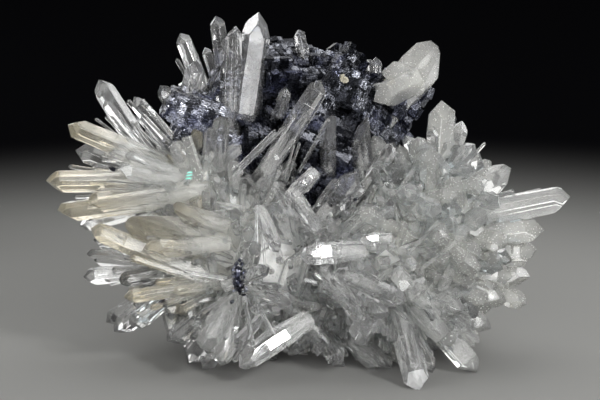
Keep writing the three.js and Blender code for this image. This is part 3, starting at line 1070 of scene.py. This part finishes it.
FANS = (
    Fan("back_left_fan", (-20, 14, 40), (-0.75, 0.62, 0.1), 60, 7, (19, 29), (5.6, 8.4)),
    Fan("back_right_fan", (26, 14, 38), (0.75, 0.65, 0.05), 60, 7, (19, 29), (5.6, 8.4), Clarity.MILKY),
    Fan("back_fan", (2, 18, 32), (0, 0.98, -0.2), 56, 7, (19, 27), (5.6, 8)),
    Fan("low_back_left_fan", (-20, 10, 20), (-0.45, 0.55, -0.7), 42, 4, (16, 22), (5.4, 7)),
    Fan("low_back_right_fan", (24, 10, 20), (0.45, 0.55, -0.7), 42, 4, (16, 22), (5.4, 7)),
)


@dataclass(frozen=True)
class Lump:
    """A rounded mass in the display frame: its centre and half extents."""

    centre: Point3
    size: Point3


QUARTZ_LUMPS = (
    Lump((-15, 1, 34), (26, 17, 22)),
    Lump((20, 1, 34), (26, 17, 23)),
    Lump((2, 10, 26), (30, 19, 20)),
    Lump((0, 17, 18), (23, 15, 16)),
    Lump((-29, -1, 50), (12, 10, 11)),
    Lump((33, 0, 44), (12, 11, 14)),
)


@dataclass(frozen=True)
class CubeGroup:
    """A lump of galena: parallel cubes, with its radius and how its cubes are turned, in degrees."""

    centre: Point3
    radius: float
    turn: Point3

    def lattice(self) -> Matrix:
        """The matrix from the group's own cube axes to the part's own frame."""
        x, y, z = (math.radians(value) for value in self.turn)
        turned = Matrix.Rotation(x, 4, "X") @ Matrix.Rotation(y, 4, "Y") @ Matrix.Rotation(z, 4, "Z")
        return TO_BASE @ Matrix.Translation(self.centre) @ turned


CUBE_GROUPS = (
    CubeGroup((-26, 3, 66), 10.5, (10, 25, 5)),
    CubeGroup((-19, 9, 74), 10, (10, 25, 5)),
    CubeGroup((-7, 9, 77), 12, (35, 10, 20)),
    CubeGroup((6, 8, 75.5), 10.2, (-15, 30, 40)),
    CubeGroup((17, 5, 70), 10.5, (-15, 30, 40)),
    CubeGroup((-12, 2, 62), 10, (35, 10, 20)),
    CubeGroup((4, 0, 60), 11.5, (50, 15, -20)),
    CubeGroup((5, -1, 51), 10.5, (50, 15, -20)),
    CubeGroup((-10, 24, 67), 13.5, (5, 40, 15)),
    CubeGroup((9, 24, 66), 13.5, (25, -10, 50)),
    CubeGroup((0, 20, 52), 13, (5, 40, 15)),
)

LONE_POINTS: dict[str, tuple[QuartzPoint, ...]] = {
    "crest_pair": (
        QuartzPoint((-12.4, -2, 94.6), 11, (-17.6, 1, 58), C, 0.7, facing=(0.1, -1, 0.05)),
        QuartzPoint((-18.8, -4, 91), 5.6, (-19.8, -2, 62), C, 0.88, facing=(-0.2, -1, 0)),
        QuartzPoint((-20.6, -3, 82), 3.8, (-20.8, -1, 64), C, 0.88, 40),
    ),
    "point_left_tall": (QuartzPoint((-23.4, 4, 93.8), 4.9, (-20.4, 7, 72), C, turn=0),),
    "point_left_outer": (QuartzPoint((-32.6, 5, 89.4), 4.8, (-25, 6, 70), C, turn=0),),
    "point_left_stub": (QuartzPoint((-28, -1, 82.4), 5.8, (-31.5, 2, 68), C, turn=0),),
    "point_left_low": (QuartzPoint((-37.6, 0, 76), 4.6, (-30, 1, 64), C, turn=0),),
    "point_left_sliver": (QuartzPoint((-26.4, 10, 86), 3, (-22, 10, 72), C, turn=0),),
    "point_summit": (QuartzPoint((-2.6, 6, 90.4), 3.6, (-1, 7, 80), C, turn=0),),
    "block_right": (
        QuartzPoint(
            (32.6, 0, 86.4), 12.6, (17, 3, 66), M, 0.5, broadside=(-0.25, -1, 0.3), alone=True, chisel=True
        ),
    ),
    "point_right_low": (
        QuartzPoint((15.8, -6, 71.6), 9, (28, -3, 77.5), M, 0.4, broadside=(0.5, -1, -0.3), alone=True),
        QuartzPoint((17.8, -5, 79.6), 8, (29, -2, 76), M, 0.4, broadside=(-0.5, -1, 0.4), alone=True),
        QuartzPoint((15.2, -4, 75.4), 3.4, (24, -1, 75), M, 0.7),
    ),
    "point_right_stub": (QuartzPoint((17, 4, 83.4), 4, (16.6, 5, 73), C, turn=0),),
    "point_right_small": (QuartzPoint((15.6, 11, 83), 3, (18, 9, 70), C, turn=0),),
    "point_centre_small": (QuartzPoint((-5.4, -11, 75), 3.6, (-9, 0, 63), C, turn=0),),
    "block_centre": (
        QuartzPoint((4.6, -14, 67.6), 6.4, (5, -6, 53), C, 0.7, facing=(0.2, -1, 0.1), alone=True, chisel=True),
    ),
    "block_low": (
        QuartzPoint(
            (12.4, -12, 67.4), 7.4, (13.6, -2, 54), C, 0.75, facing=(-0.3, -1, 0.1), alone=True, chisel=True
        ),
    ),
    "point_front": (QuartzPoint((-21.8, -12, 68), 5.2, (-22.6, -5, 55), C, facing=(0.2, -1, 0), alone=True),),
    "point_back_left": (QuartzPoint((-17, 37, 88), 5, (-9, 26, 68), C, turn=0),),
    "point_back_right": (
        QuartzPoint((16, 40, 84), 6, (9, 26, 64), C, turn=0),
        QuartzPoint((21, 38, 78), 4.6, (12, 29, 64), C, turn=0),
    ),
    "point_back_middle": (QuartzPoint((2, 44, 76), 4.6, (1, 28, 62), C, turn=0),),
}

CARBONATE_GRAINS = {
    "carbonate_grain_middle": Lump((8.8, -4.6, 77.4), (1.1, 0.9, 1.6)),
    "carbonate_grain_right": Lump((20, -3.6, 76.4), (1.2, 1, 1.1)),
}


def finish_piece(piece: bpy.types.Object, slot: str, *nodes: str) -> None:
    """Fixes a finished piece to the specimen's one body, hides the solids that it stands in for, and logs its face
    count.
    """
    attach(piece, "root")
    if nodes:
        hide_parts(*nodes)
    LOG.info("%s: %d faces", piece.name, len(piece.data.polygons))


@dataclass
class QuartzMass:
    """The massive milky quartz from which the sprays grow, and the small points that cover it."""

    shrink: float = 0.74
    fineness: int = 4
    per_area: float = 0.075
    width: Range = (1.3, 3.9)
    slimness: Range = (3.2, 6.0)
    lean: float = 0.5
    sunk: float = 0.62
    stout_from: float = 16.0
    stout_girth: float = 1.5
    milky_from: float = 12.0
    milky_share: float = 0.15
    milky_share_right: float = 0.5
    hazy_share: float = 0.7
    stained_to: float = -26.0
    stained_over: float = 0.8
    buried: float = 0.72
    buried_in_galena: float = 0.85

    def body(self, lump: Lump, seed: int) -> Shape:
        """One lump as a closed uneven mass, a little inside its solid."""
        bpy.ops.object.select_all(action="DESELECT")
        bpy.ops.mesh.primitive_ico_sphere_add(subdivisions=self.fineness, radius=1.0)
        ball = bpy.context.active_object
        corners, faces = as_model(ball)
        wave = np.sin(7 * corners[:, 0] + seed) * np.cos(6 * corners[:, 1] - seed)
        wave += np.sin(9 * corners[:, 2] + seed)
        girth = (self.shrink * (0.94 + 0.05 * wave))[:, None]
        placed = carried(corners * girth * np.array(lump.size) + np.array(lump.centre), TO_BASE)
        placed[:, 2] = np.maximum(placed[:, 2], 0.0)
        return Shape(placed, faces, placed.copy(), np.full(len(corners), 0.5), np.zeros(len(corners)))

    def small_points(self, builder: QuartzBuilder) -> None:
        """Covers the lumps with small points of mixed size and clarity."""
        rng = np.random.default_rng(41)
        for number, lump in enumerate(QUARTZ_LUMPS):
            size = np.array(lump.size)
            count = int(self.per_area * 4 * math.pi * (size[0] * size[1] * size[2]) ** (2 / 3))
            for index in range(count):
                height = 1 - 2 * (index + 0.5) / count
                ring = math.sqrt(1 - height * height)
                around = index * GOLDEN_ANGLE + number
                ray = np.array([ring * math.cos(around), ring * math.sin(around), height])
                spot = np.array(lump.centre) + ray * size
                width = in_ratio(self.width, rng.random())
                if spot[0] > self.stout_from:
                    width *= self.stout_girth
                out = ray / size
                out = out / np.linalg.norm(out) + rng.normal(0, self.lean, 3)
                out /= np.linalg.norm(out)
                length = width * rng.uniform(*self.slimness)
                root = spot - out * length * self.sunk
                tip = root + out * length
                kind = rng.random()
                foot, top = stand(tuple(root)), stand(tuple(tip))
                if self.hidden(spot, number) or top[2] < 0.6 or foot[2] < 0.2:
                    continue
                stance = Stance(foot, top, width, 60 * rng.random(), 0.9)
                builder.needle(stance, self.clarity(tip[0], kind), index, index + 1000 * number + 0.13)

    def clarity(self, across: float, kind: float) -> Clarity:
        """How clear a small point is, by where its tip lies and a draw between 0 and 1."""
        if across < self.stained_to and kind > self.stained_over:
            return S
        if kind < (self.milky_share_right if across > self.milky_from else self.milky_share):
            return M
        return H if kind < self.hazy_share else C

    def hidden(self, spot: np.ndarray, number: int) -> bool:
        """True where another lump or the galena buries a place on this one."""
        for other, lump in enumerate(QUARTZ_LUMPS):
            depth = np.linalg.norm((spot - np.array(lump.centre)) / np.array(lump.size))
            if other != number and depth < self.buried:
                return True
        return any(
            np.linalg.norm(spot - np.array(group.centre)) < group.radius * self.buried_in_galena
            for group in CUBE_GROUPS
        )


CUBE_CORNERS = np.array([[x, y, z] for x in (-0.5, 0.5) for y in (-0.5, 0.5) for z in (-0.5, 0.5)])
CUBE_FACES = [(0, 1, 3, 2), (4, 6, 7, 5), (0, 4, 5, 1), (2, 3, 7, 6), (0, 2, 6, 4), (1, 5, 7, 3)]


@dataclass
class Galena:
    """The galena: groups of parallel cubes whose faces are stepped, rimmed and crusted with smaller cubes."""

    cubes_per_lump: int = 4
    cube_share: Range = (0.5, 0.95)
    core_share: float = 1.22
    steps_per_mm2: float = 1.5
    step_edge: Range = (0.4, 2.6)
    step_bias: float = 2.4
    step_tilt: float = 0.16
    rim_chance: float = 0.55

    def cubes(self, group: CubeGroup, seed: int) -> list[tuple[np.ndarray, np.ndarray]]:
        """The big cubes of a group, as centre and edges on its own axes."""
        radius = group.radius
        found = [(np.zeros(3), np.full(3, radius * self.core_share))]
        for index in range(self.cubes_per_lump):
            height = 1 - (2 * (index + 0.5)) / self.cubes_per_lump
            ring = math.sqrt(1 - height * height)
            around = index * GOLDEN_ANGLE + seed
            edge = [radius * between(self.cube_share, scatter(seed * 7 + index * 3 + k)) for k in range(3)]
            reach = radius * between((0.5, 0.72), scatter(seed + index * 5))
            centre = [reach * ring * math.cos(around), reach * ring * math.sin(around), reach * height]
            found.append((np.array(centre), np.array(edge)))
        return found

    def build(self) -> Shape:
        """Builds every cube and the relief on its faces."""
        rng = np.random.default_rng(7)
        self.world: list[tuple[Matrix, np.ndarray, np.ndarray]] = []
        for seed, group in enumerate(CUBE_GROUPS, start=1):
            lattice = group.lattice()
            self.world += [(lattice, centre, edge) for centre, edge in self.cubes(group, seed)]
        self.inverse = [(np.array(lattice.inverted()), centre, edge / 2) for lattice, centre, edge in self.world]
        shapes = []
        for number, (lattice, centre, edge) in enumerate(self.world):
            shapes.append(self.box(lattice, centre, edge, rng, 0.0))
            shapes += self.relief(lattice, centre, edge, rng, number)
        return gather(shapes)

    def buried(self, place: np.ndarray, number: int, depth: float) -> bool:
        """True where another big cube covers a place by more than depth."""
        spot = np.append(place, 1.0)
        for other, (inverse, centre, half) in enumerate(self.inverse):
            if other != number and np.all(np.abs((inverse @ spot)[:3] - centre) < half - depth):
                return True
        return False

    def relief(
        self, lattice: Matrix, centre: np.ndarray, edge: np.ndarray, rng: np.random.Generator, number: int
    ) -> list[Shape]:
        """Steps, rims and crumbs on the six faces of a cube."""
        shapes = []
        for axis in range(3):
            for sign in (-1, 1):
                first, second = [k for k in range(3) if k != axis]
                area = edge[first] * edge[second]
                count = int(area * self.steps_per_mm2)
                for _ in range(count):
                    size = in_ratio(self.step_edge, rng.random() ** self.step_bias)
                    at = centre.copy()
                    at[axis] += sign * edge[axis] / 2
                    at[first] += edge[first] * rng.uniform(-0.5, 0.5)
                    at[second] += edge[second] * rng.uniform(-0.5, 0.5)
                    spot = np.array(lattice @ Vector(at))
                    if self.buried(spot, number, 0.5):
                        continue
                    step = np.array([size * rng.uniform(0.7, 1.3) for _ in range(3)])
                    step[axis] = 2 * size * rng.uniform(0.12, 0.42)
                    shapes.append(self.box(lattice, at, step, rng, self.step_tilt))
                if rng.random() < self.rim_chance:
                    shapes += self.rim(lattice, centre, edge, axis, sign, rng, number)
        return shapes

    def rim(
        self,
        lattice: Matrix,
        centre: np.ndarray,
        edge: np.ndarray,
        axis: int,
        sign: int,
        rng: np.random.Generator,
        number: int,
    ) -> list[Shape]:
        """A raised rim round a face, in broken lengths, as where a cube grew faster at its edges."""
        shapes = []
        first, second = [k for k in range(3) if k != axis]
        for run, cross in ((first, second), (second, first)):
            for side in (-1, 1):
                for part in range(3):
                    bar = np.zeros(3)
                    bar[axis] = rng.uniform(0.5, 1.5)
                    bar[run] = edge[run] / 3 * rng.uniform(0.7, 1.1)
                    bar[cross] = rng.uniform(0.5, 1.3)
                    at = centre.copy()
                    at[axis] += sign * edge[axis] / 2
                    at[run] += edge[run] * (part - 1) / 3
                    at[cross] += side * (edge[cross] / 2 - bar[cross] / 2)
                    if not self.buried(np.array(lattice @ Vector(at)), number, 0.3):
                        shapes.append(self.box(lattice, at, bar, rng, 0.02))
        return shapes

    @staticmethod
    def box(
        lattice: Matrix, centre: np.ndarray, edge: np.ndarray, rng: np.random.Generator, tilt: float
    ) -> Shape:
        """One block on a group's axes, tilted a little off them."""
        local = CUBE_CORNERS * edge
        if tilt:
            twist = Matrix.Rotation(rng.normal(0, tilt), 3, Vector(rng.normal(0, 1, 3)))
            local = local @ np.array(twist).T
        local = local + centre
        own = local + rng.uniform(0, 40, 3)
        return Shape(carried(local, lattice), CUBE_FACES, own, np.full(8, rng.random()), np.zeros(8))


def build_galena(material: bpy.types.Material) -> None:
    """Builds the galena in place of its solid."""
    shape = Galena().build()
    piece = to_piece("galena_mass", shape, material)
    finish_piece(piece, "galena", "galena")


def grow_group(
    builder: QuartzBuilder, group: Spray | Fan, points: tuple[QuartzPoint, ...], key: int, seed: int
) -> None:
    """Grows the points of a spray or a fan, and the fine points between them.

    Args:
        builder: takes the points.
        group: the spray or the fan.
        points: its main points.
        key: sets its main points apart.
        seed: sets its fine points apart.
    """
    for index, point in enumerate(points):
        builder.point(point, group.centre, key + index)
    Undergrowth().fill(builder, points, group.centre, seed)
    LOG.info("%s: %d main points", group.name, len(points))


def build_quartz(
    moulds: Moulds,
    finishes: dict[Clarity, bpy.types.Material],
    haze: bpy.types.Material,
    mass: bpy.types.Material,
) -> None:
    """Builds the main quartz: its mass, sprays, fans and small points, in place of its solid."""
    builder = QuartzBuilder(moulds)
    for number, spray in enumerate(SPRAYS):
        grow_group(builder, spray, spray.points, 10 * (number + 1), 50 + number)
    for number, fan in enumerate(FANS):
        key = 100 + 20 * number
        grow_group(builder, fan, tuple(fan.points(key)), key, 70 + number)
    for index, point in enumerate(FRONT_BLOCKS):
        builder.point(point, None, 600 + index)
    for index, point in enumerate(NEEDLE_POINTS):
        builder.needle(Stance(stand(point.root), stand(point.tip), point.width), point.clarity, 0, 700 + index)
    quartz_mass = QuartzMass()
    quartz_mass.small_points(builder)
    finish_piece(grow_together("quartz_points", builder.kinds(finishes)), "milky_quartz", "quartz_cluster")
    finish_piece(to_piece("quartz_haze", gather(builder.haze), haze), "milky_quartz", "quartz_cluster")
    bodies = [quartz_mass.body(lump, seed) for seed, lump in enumerate(QUARTZ_LUMPS)]
    piece = to_piece("quartz_mass", gather(bodies), mass, 40)
    finish_piece(piece, "milky_quartz", "quartz_cluster")


def build_lone_points(
    moulds: Moulds, finishes: dict[Clarity, bpy.types.Material], haze: bpy.types.Material
) -> None:
    """Builds the points that stand on the galena, each in place of its own solid."""
    for number, (name, points) in enumerate(LONE_POINTS.items()):
        builder = QuartzBuilder(moulds)
        for index, point in enumerate(points):
            builder.point(point, None, 300 + 10 * number + index)
        finish_piece(grow_together(name, builder.kinds(finishes)), "clear_quartz", f"quartz_{name}")
        finish_piece(to_piece(f"{name}_haze", gather(builder.haze), haze), "clear_quartz", f"quartz_{name}")


@dataclass
class GrainOfRhombs:
    """A carbonate grain: a few chipped rhombs grown through each other, in the space of its solid."""

    lump: Lump
    rhombs: int = 9
    slant: float = 0.25

    def build(self, seed: int) -> Shape:
        """Builds the grain's rhombs, each turned its own way."""
        rng = np.random.default_rng(seed)
        size = np.array(self.lump.size)
        skew = np.array([[1, self.slant, 0], [0, 1, self.slant], [self.slant, 0, 1]])
        shapes = []
        for _ in range(self.rhombs):
            twist = np.array(Matrix.Rotation(rng.uniform(0, math.pi), 3, Vector(rng.normal(0, 1, 3))))
            edge = size.min() * rng.uniform(0.5, 1.0)
            local = (CUBE_CORNERS * edge) @ skew.T @ twist.T + rng.uniform(-0.5, 0.5, 3) * size
            placed = carried(local + np.array(self.lump.centre), TO_BASE)
            shapes.append(Shape(placed, CUBE_FACES, local, np.full(8, rng.random()), np.zeros(8)))
        return gather(shapes)


def build_grains(material: bpy.types.Material) -> None:
    """Builds the two carbonate grains, each in place of its own solid."""
    for seed, (name, lump) in enumerate(CARBONATE_GRAINS.items()):
        piece = to_piece(f"{name}_rhombs", GrainOfRhombs(lump).build(seed + 5), material)
        finish_piece(piece, "carbonate", name)


@dataclass(frozen=True)
class DarkPocket:
    """A pocket of tiny galena cubes among the quartz points: its middle, half extents and how many cubes."""

    centre: Point3
    size: Point3
    count: int

    def build(self, rng: np.random.Generator) -> Shape:
        """Scatters the cubes through the pocket."""
        lattice = TO_BASE @ Matrix.Translation(self.centre)
        shapes = []
        for _ in range(self.count):
            at = rng.normal(0, 0.5, 3) * np.array(self.size)
            edge = rng.uniform(0.35, 1.1, 3)
            shapes.append(Galena.box(lattice, at, edge, rng, 1.0))
        return gather(shapes)


DARK_POCKETS = (
    DarkPocket((-17.2, -21, 27.4), (1.6, 1.2, 4.0), 60),
    DarkPocket((-48.7, -12.5, 54.6), (0.5, 0.4, 0.4), 5),
    DarkPocket((-36, -14, 22), (1.0, 1.0, 0.8), 12),
    DarkPocket((7, -14, 47.5), (3.0, 1.0, 1.6), 40),
)


def build_pockets(material: bpy.types.Material) -> None:
    """Builds the crumbs of galena that lie among the quartz."""
    rng = np.random.default_rng(19)
    piece = to_piece("galena_crumbs", gather([pocket.build(rng) for pocket in DARK_POCKETS]), material)
    finish_piece(piece, "galena")


@dataclass(frozen=True)
class FractureFilm:
    """The coloured bands of a healed fracture near the root of a left point, in millimetres."""

    middle: Point3 = (-29.4, -18.4, 53.8)
    band: Point3 = (1.6, 0.1, 0.28)
    step: Point3 = (-0.25, -0.5, -0.7)
    bands: int = 3

    def build(self, material: bpy.types.Material) -> None:
        """Builds the bands, each a thin sliver."""
        rng = np.random.default_rng(3)
        lattice = TO_BASE @ Matrix.Rotation(math.radians(-8), 4, "Y")
        start = lattice.inverted() @ TO_BASE @ Vector(self.middle)
        shapes = []
        for index in range(self.bands):
            edge = np.array(self.band) * rng.uniform(0.75, 1.1, 3)
            shapes.append(Galena.box(lattice, np.array(start) + index * np.array(self.step), edge, rng, 0.04))
        piece = to_piece("fracture_film", gather(shapes), material)
        finish_piece(piece, "milky_quartz")


@dataclass(frozen=True)
class Softbox:
    """A square studio light: where it stands, what it faces, its edge and its power."""

    name: str
    place: Point3
    target: Point3
    edge: float
    watts: float

    def build(self) -> None:
        """Adds the light."""
        lamp = bpy.data.lights.new(self.name, "AREA")
        lamp.shape = "SQUARE"
        lamp.size = self.edge
        lamp.energy = self.watts
        holder = bpy.data.objects.new(self.name, lamp)
        holder.location = self.place
        holder.rotation_euler = (Vector(self.target) - Vector(self.place)).to_track_quat("-Z", "Y").to_euler()
        bpy.context.scene.collection.objects.link(holder)


@dataclass
class Studio:
    """The camera at the display side's angle, the pale floor and the soft lights."""

    distance_m: float = 0.9
    frame_width_mm: float = 150.0
    aim: Point3 = (-2.25, -6.0, 47.0)
    floor_edge_m: float = 3.0
    sensor_mm: float = 36.0
    near_m: float = 0.01
    room: tuple[float, ...] = (0.31, 0.31, 0.305, 1)

    def camera(self) -> None:
        """Adds the camera, square to the leaning display side."""
        data = bpy.data.cameras.new("camera")
        data.sensor_width = self.sensor_mm
        data.lens = self.sensor_mm * self.distance_m / (self.frame_width_mm * MM)
        data.clip_start = self.near_m
        holder = bpy.data.objects.new("camera", data)
        rotation = TO_BASE.to_3x3()
        back = rotation @ Vector((0, -1, 0))
        target = Vector(stand(self.aim)) * MM
        holder.location = target + back * self.distance_m
        holder.rotation_euler = (-back).to_track_quat("-Z", "Y").to_euler()
        bpy.context.scene.collection.objects.link(holder)
        bpy.context.scene.camera = holder

    def floor(self) -> None:
        """Adds the floor."""
        bpy.ops.object.select_all(action="DESELECT")
        bpy.ops.mesh.primitive_plane_add(size=self.floor_edge_m, location=(0, 0, 0))
        floor = bpy.context.active_object
        floor.name = "floor"
        floor.data.materials.append(FloorPaint().material())
        floor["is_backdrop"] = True

    def lights(self) -> None:
        """Adds the soft lights and the room's own light."""
        middle = (0.0, 0.0, 0.045)
        boxes = (
            Softbox("key_left", (-0.5, -0.36, 0.45), middle, 0.5, 0.6),
            Softbox("fill_right", (0.55, -0.3, 0.35), middle, 0.5, 0.6),
            Softbox("front", (0.1, -0.8, 0.1), middle, 0.7, 11.2),
            Softbox("flash_right", (0.29, -0.43, 0.33), middle, 0.1, 2.8),
            Softbox("top", (0.0, 0.1, 0.6), middle, 0.5, 2.0),
            Softbox("back", (0.0, 0.8, 0.3), middle, 0.7, 1.4),
            Softbox("rim_left", (-0.4, 0.42, 0.25), middle, 0.25, 1.1),
            Softbox("rim_right", (0.42, 0.4, 0.28), middle, 0.25, 0.7),
        )
        for box in boxes:
            box.build()
        world = bpy.data.worlds.new("room")
        world.use_nodes = True
        background = world.node_tree.nodes["Background"]
        background.inputs["Color"].default_value = self.room
        background.inputs["Strength"].default_value = 1.0
        bpy.context.scene.world = world

    def paths(self) -> None:
        """Lets light pass through many crystal faces."""
        cycles = bpy.context.scene.cycles
        cycles.max_bounces = 20
        cycles.transmission_bounces = 18
        cycles.transparent_max_bounces = 28
        cycles.glossy_bounces = 6
        cycles.diffuse_bounces = 4
        cycles.sample_clamp_indirect = 8.0
        bpy.context.scene.view_settings.view_transform = "Standard"

    def build(self) -> None:
        """Sets up the whole studio."""
        self.camera()
        self.floor()
        self.lights()
        self.paths()


FINISHES = {
    Clarity.CLEAR: RockCrystal("quartz_clear", "fdfdfd", 0.96, 0.05, relief_mm=0.0009),
    Clarity.HAZY: RockCrystal("quartz_hazy", "f4f4f2", 0.9, 0.09, relief_mm=0.0012),
    Clarity.MILKY: RockCrystal("quartz_milky", "e4e4e0", 0.86, 0.23, relief_mm=0.0015, unevenness=0.2),
    Clarity.STAINED: RockCrystal("quartz_stained", "f6f5f0", 0.91, 0.08, "f1e8d2", relief_mm=0.0012),
}


def as_lists(bounds: object) -> list[list[float]]:
    """A box as plain lists of numbers."""
    return [[float(value) for value in corner] for corner in bounds]


def main() -> list[list[float]]:
    """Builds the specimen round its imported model.

    Returns:
        The CAD box, as plain lists.
    """
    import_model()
    cad_box = as_lists(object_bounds())
    Studio().build()
    finishes = {clarity: crystal.material() for clarity, crystal in FINISHES.items()}
    haze = Haze("quartz_haze", "f4f4f1", 0.13).material()
    mass = RockCrystal("quartz_mass_white", "f2f2ef", 0.2, 0.35, relief_mm=0.05).material()
    lead_glance = LeadGlance().material()
    build_galena(lead_glance)
    build_pockets(lead_glance)
    moulds = Moulds()
    build_quartz(moulds, finishes, haze, mass)
    build_lone_points(moulds, finishes, haze)
    build_grains(Carbonate().material())
    FractureFilm().build(Iridescence().material())
    return cad_box


if __name__ == "__main__":
    logging.basicConfig(level=logging.INFO, format="%(message)s")
    CAD_BOX = main()
